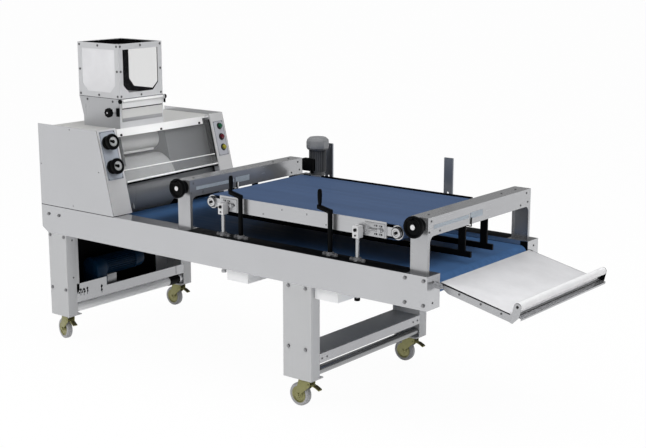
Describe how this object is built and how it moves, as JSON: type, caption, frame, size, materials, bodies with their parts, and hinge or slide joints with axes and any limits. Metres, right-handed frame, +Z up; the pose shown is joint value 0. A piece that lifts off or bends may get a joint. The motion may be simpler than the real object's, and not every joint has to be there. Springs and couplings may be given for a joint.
{
  "type": "dough moulder",
  "caption": "Floor-standing bakery moulder: hopper-fed sheeting head, blue conveyor under a height-adjustable pressing belt, side guides and a sloping outfeed tray on braked castors.",
  "frame": {"origin": "on the floor, under the middle of the overall box", "axes": "+Z up, +X from the hopper head along the belt to the outfeed tray, +Y away from the operator's side"},
  "size_m": [3.2414, 1.11, 1.795],
  "materials": {
    "stainless": "fine brushed stainless sheet",
    "pale_panel": "bright satin sheet",
    "dark_frame": "dark grey satin paint",
    "belt": "matt blue belt",
    "roller_white": "smooth white non-stick",
    "drum_grey": "smooth grey coating",
    "motor_blue": "dark blue paint",
    "motor_grey": "cast grey",
    "clear_sheet": "clear tinted sheet",
    "black_plastic": "black moulded",
    "black_steel": "black satin coat",
    "button_green": "gloss green",
    "button_red": "gloss red",
    "button_yellow": "gloss yellow",
    "zinc_yellow": "yellow passivated zinc",
    "tread_white": "pale nylon tread",
    "pedal_black": "black coat"
  },
  "bodies": {
    "frame": {"side_beams": "stainless", "legs": "stainless", "motor_tray": "stainless", "outfeed_shelf": "stainless", "cross_members": "stainless", "belt_bed": "stainless", "frame_bolts": "stainless", "lower_belt": "belt", "main_gearmotor": "motor_blue", "head_side_panels": "stainless", "head_cover": "stainless", "fascia_panels": "pale_panel", "roller_frame": "dark_frame", "hopper_shell": "stainless", "hopper_windows": "clear_sheet", "lift_fittings": "stainless", "far_posts": "stainless", "guide_portals": "stainless"},
    "guard": {"guard_panel": "clear_sheet", "guard_strip": "stainless"},
    "upper_unit": {"upper_frame": "stainless", "upper_belt": "belt", "upper_gearmotor": "motor_grey"},
    "lower_drive_roller": {"lower_drive_roller": "stainless"},
    "lower_tail_roller": {"lower_tail_roller": "stainless"},
    "front_roller_slide": {"front_roller_slide": "stainless"},
    "drum_slide": {"drum_slide": "stainless"},
    "hopper_flap": {"hopper_flap": "stainless"},
    "upper_drive_roller": {"upper_drive_roller": "stainless"},
    "upper_tail_roller": {"upper_tail_roller": "stainless"},
    "infeed_lift_yoke": {"infeed_lift_yoke": "stainless"},
    "outfeed_lift_yoke": {"outfeed_lift_yoke": "stainless"},
    "outfeed_tray": {"outfeed_tray": "stainless"},
    "back_roller": {"back_roller": "roller_white"},
    "front_roller": {"front_roller": "roller_white"},
    "moulding_drum": {"moulding_drum": "drum_grey"},
    "upper_gap_knob": {"upper_gap_knob": "black_plastic"},
    "lower_gap_knob": {"lower_gap_knob": "black_plastic"},
    "flap_knob": {"flap_knob": "black_plastic"},
    "infeed_handwheel": {"infeed_handwheel": "black_plastic"},
    "outfeed_handwheel": {"outfeed_handwheel": "black_plastic"},
    "infeed_crank": {"infeed_crank": "black_steel"},
    "outfeed_crank": {"outfeed_crank": "black_steel"},
    "near_guide": {"near_guide": "black_steel"},
    "far_guide": {"far_guide": "black_steel"},
    "start_button": {"start_button": "button_green"},
    "stop_button": {"stop_button": "button_red"},
    "reset_button": {"reset_button": "button_yellow"},
    "near_infeed_castor_fork": {"near_infeed_castor_fork": "zinc_yellow"},
    "far_infeed_castor_fork": {"far_infeed_castor_fork": "zinc_yellow"},
    "near_outfeed_castor_fork": {"near_outfeed_castor_fork": "zinc_yellow"},
    "far_outfeed_castor_fork": {"far_outfeed_castor_fork": "zinc_yellow"},
    "near_infeed_castor_wheel": {"near_infeed_castor_wheel": "tread_white"},
    "far_infeed_castor_wheel": {"far_infeed_castor_wheel": "tread_white"},
    "near_outfeed_castor_wheel": {"near_outfeed_castor_wheel": "tread_white"},
    "far_outfeed_castor_wheel": {"far_outfeed_castor_wheel": "tread_white"},
    "near_infeed_castor_pedal": {"near_infeed_castor_pedal": "pedal_black"},
    "far_infeed_castor_pedal": {"far_infeed_castor_pedal": "pedal_black"},
    "near_outfeed_castor_pedal": {"near_outfeed_castor_pedal": "pedal_black"},
    "far_outfeed_castor_pedal": {"far_outfeed_castor_pedal": "pedal_black"}
  },
  "joints": [
    {"name": "lower_drive_spin", "type": "hinge", "parent": "frame", "child": "lower_drive_roller", "pos_m": [1.12326, 0.022, 0.7687], "axis": [0, 1, 0], "continuous": true},
    {"name": "lower_tail_spin", "type": "hinge", "parent": "frame", "child": "lower_tail_roller", "pos_m": [-1.02874, 0.022, 0.7687], "axis": [0, 1, 0], "continuous": true},
    {"name": "drum_gap", "type": "slide", "parent": "frame", "child": "drum_slide", "axis": [0.97, 0, 0.243], "range_m": [-0.004, 0.012]},
    {"name": "drum_spin", "type": "hinge", "parent": "drum_slide", "child": "moulding_drum", "pos_m": [-1.22111, 0.022, 0.94454], "axis": [0, 1, 0], "continuous": true},
    {"name": "roller_gap", "type": "slide", "parent": "frame", "child": "front_roller_slide", "axis": [0.97, 0, 0.243], "range_m": [-0.004, 0.012]},
    {"name": "front_roller_spin", "type": "hinge", "parent": "front_roller_slide", "child": "front_roller", "pos_m": [-1.25568, 0.022, 1.20598], "axis": [0, 1, 0], "continuous": true},
    {"name": "back_roller_spin", "type": "hinge", "parent": "frame", "child": "back_roller", "pos_m": [-1.38968, 0.022, 1.20598], "axis": [0, 1, 0], "continuous": true},
    {"name": "upper_gap_turn", "type": "hinge", "parent": "frame", "child": "upper_gap_knob", "pos_m": [-1.09077, -0.441, 1.24729], "axis": [0.97, 0, 0.243], "range_deg": [-75, 225]},
    {"name": "lower_gap_turn", "type": "hinge", "parent": "frame", "child": "lower_gap_knob", "pos_m": [-1.05651, -0.441, 1.11052], "axis": [0.97, 0, 0.243], "range_deg": [-75, 225]},
    {"name": "start_press", "type": "slide", "parent": "frame", "child": "start_button", "axis": [-0.97, 0, -0.243], "range_m": [0, 0.004], "stiffness_N_per_m": 400},
    {"name": "stop_press", "type": "slide", "parent": "frame", "child": "stop_button", "axis": [-0.97, 0, -0.243], "range_m": [0, 0.004], "stiffness_N_per_m": 400},
    {"name": "reset_press", "type": "slide", "parent": "frame", "child": "reset_button", "axis": [-0.97, 0, -0.243], "range_m": [0, 0.004], "stiffness_N_per_m": 400},
    {"name": "guard_hinge", "type": "hinge", "parent": "frame", "child": "guard", "pos_m": [-1.12137, 0.022, 1.30359], "axis": [0, -1, 0], "range_deg": [0, 75]},
    {"name": "flap_hinge", "type": "hinge", "parent": "frame", "child": "hopper_flap", "pos_m": [-1.15074, -0.093, 1.463], "axis": [0, -1, 0], "range_deg": [0, 70]},
    {"name": "flap_knob_turn", "type": "hinge", "parent": "frame", "child": "flap_knob", "pos_m": [-1.20574, -0.268, 1.399], "axis": [0, 1, 0], "range_deg": [-180, 180]},
    {"name": "infeed_lift", "type": "hinge", "parent": "frame", "child": "infeed_lift_yoke", "pos_m": [0.71926, 0.022, 0.985], "axis": [0, 1, 0], "range_deg": [-3.18, 0]},
    {"name": "outfeed_lift", "type": "hinge", "parent": "infeed_lift_yoke", "child": "upper_unit", "pos_m": [-0.18074, 0.022, 0.985], "axis": [0, 1, 0], "range_deg": [0, 3.18]},
    {"name": "outfeed_yoke_slide", "type": "slide", "parent": "frame", "child": "outfeed_lift_yoke", "axis": [0, 0, 1], "range_m": [-0.05, 0]},
    {"name": "infeed_crank_turn", "type": "hinge", "parent": "frame", "child": "infeed_crank", "pos_m": [-0.06074, -0.447, 0.836], "axis": [0, 0, 1], "range_deg": [-900, 0]},
    {"name": "outfeed_crank_turn", "type": "hinge", "parent": "frame", "child": "outfeed_crank", "pos_m": [0.54226, -0.447, 0.836], "axis": [0, 0, 1], "range_deg": [-900, 0]},
    {"name": "upper_drive_spin", "type": "hinge", "parent": "upper_unit", "child": "upper_drive_roller", "pos_m": [-0.28974, 0.022, 1.003], "axis": [0, 1, 0], "continuous": true},
    {"name": "upper_tail_spin", "type": "hinge", "parent": "upper_unit", "child": "upper_tail_roller", "pos_m": [0.93326, 0.022, 1.003], "axis": [0, 1, 0], "continuous": true},
    {"name": "near_guide_slide", "type": "slide", "parent": "frame", "child": "near_guide", "axis": [0, 1, 0], "range_m": [-0.22, 0.08]},
    {"name": "far_guide_slide", "type": "slide", "parent": "frame", "child": "far_guide", "axis": [0, 1, 0], "range_m": [-0.08, 0.22]},
    {"name": "infeed_handwheel_turn", "type": "hinge", "parent": "frame", "child": "infeed_handwheel", "pos_m": [-0.46374, -0.46, 1.068], "axis": [0, 1, 0], "range_deg": [-2636, 960]},
    {"name": "outfeed_handwheel_turn", "type": "hinge", "parent": "frame", "child": "outfeed_handwheel", "pos_m": [1.08976, -0.46, 1.068], "axis": [0, 1, 0], "range_deg": [-2636, 960]},
    {"name": "tray_hinge", "type": "hinge", "parent": "frame", "child": "outfeed_tray", "pos_m": [1.18226, 0.022, 0.776], "axis": [0, 1, 0], "range_deg": [-12.7, 35]},
    {"name": "near_infeed_swivel", "type": "hinge", "parent": "frame", "child": "near_infeed_castor_fork", "pos_m": [-1.48274, -0.453, 0.16], "axis": [0, 0, 1], "continuous": true},
    {"name": "near_infeed_wheel_spin", "type": "hinge", "parent": "near_infeed_castor_fork", "child": "near_infeed_castor_wheel", "pos_m": [-1.52155, -0.44332, 0.0625], "axis": [0.2419, 0.9703, 0], "continuous": true},
    {"name": "near_infeed_pedal_turn", "type": "hinge", "parent": "near_infeed_castor_fork", "child": "near_infeed_castor_pedal", "pos_m": [-1.45363, -0.46026, 0.132], "axis": [0.2419, 0.9703, 0], "range_deg": [-18, 0]},
    {"name": "far_infeed_swivel", "type": "hinge", "parent": "frame", "child": "far_infeed_castor_fork", "pos_m": [-1.48274, 0.497, 0.16], "axis": [0, 0, 1], "continuous": true},
    {"name": "far_infeed_wheel_spin", "type": "hinge", "parent": "far_infeed_castor_fork", "child": "far_infeed_castor_wheel", "pos_m": [-1.52274, 0.497, 0.0625], "axis": [0, 1, 0], "continuous": true},
    {"name": "far_infeed_pedal_turn", "type": "hinge", "parent": "far_infeed_castor_fork", "child": "far_infeed_castor_pedal", "pos_m": [-1.45274, 0.497, 0.132], "axis": [0, 1, 0], "range_deg": [-18, 0]},
    {"name": "near_outfeed_swivel", "type": "hinge", "parent": "frame", "child": "near_outfeed_castor_fork", "pos_m": [0.39226, -0.453, 0.16], "axis": [0, 0, 1], "continuous": true},
    {"name": "near_outfeed_wheel_spin", "type": "hinge", "parent": "near_outfeed_castor_fork", "child": "near_outfeed_castor_wheel", "pos_m": [0.35226, -0.453, 0.0625], "axis": [0, 1, 0], "continuous": true},
    {"name": "near_outfeed_pedal_turn", "type": "hinge", "parent": "near_outfeed_castor_fork", "child": "near_outfeed_castor_pedal", "pos_m": [0.42226, -0.453, 0.132], "axis": [0, 1, 0], "range_deg": [-18, 0]},
    {"name": "far_outfeed_swivel", "type": "hinge", "parent": "frame", "child": "far_outfeed_castor_fork", "pos_m": [0.39226, 0.497, 0.16], "axis": [0, 0, 1], "continuous": true},
    {"name": "far_outfeed_wheel_spin", "type": "hinge", "parent": "far_outfeed_castor_fork", "child": "far_outfeed_castor_wheel", "pos_m": [0.35226, 0.497, 0.0625], "axis": [0, 1, 0], "continuous": true},
    {"name": "far_outfeed_pedal_turn", "type": "hinge", "parent": "far_outfeed_castor_fork", "child": "far_outfeed_castor_pedal", "pos_m": [0.42226, 0.497, 0.132], "axis": [0, 1, 0], "range_deg": [-18, 0]}
  ],
  "couplings": [
    {"joint": "lower_tail_spin", "follows": "lower_drive_spin", "ratio": 1},
    {"joint": "front_roller_spin", "follows": "drum_spin", "ratio": 2.7344},
    {"joint": "back_roller_spin", "follows": "drum_spin", "ratio": -2.7344},
    {"joint": "upper_gap_turn", "follows": "roller_gap", "rad_per_m": 327},
    {"joint": "lower_gap_turn", "follows": "drum_gap", "rad_per_m": 327},
    {"joint": "outfeed_yoke_slide", "follows": "outfeed_lift", "m_per_rad": -0.9},
    {"joint": "infeed_crank_turn", "follows": "infeed_lift", "ratio": 283},
    {"joint": "outfeed_crank_turn", "follows": "outfeed_lift", "ratio": -283},
    {"joint": "upper_tail_spin", "follows": "upper_drive_spin", "ratio": 1},
    {"joint": "far_guide_slide", "follows": "near_guide_slide", "ratio": -1},
    {"joint": "infeed_handwheel_turn", "follows": "near_guide_slide", "rad_per_m": 209},
    {"joint": "outfeed_handwheel_turn", "follows": "near_guide_slide", "rad_per_m": 209}
  ]
}
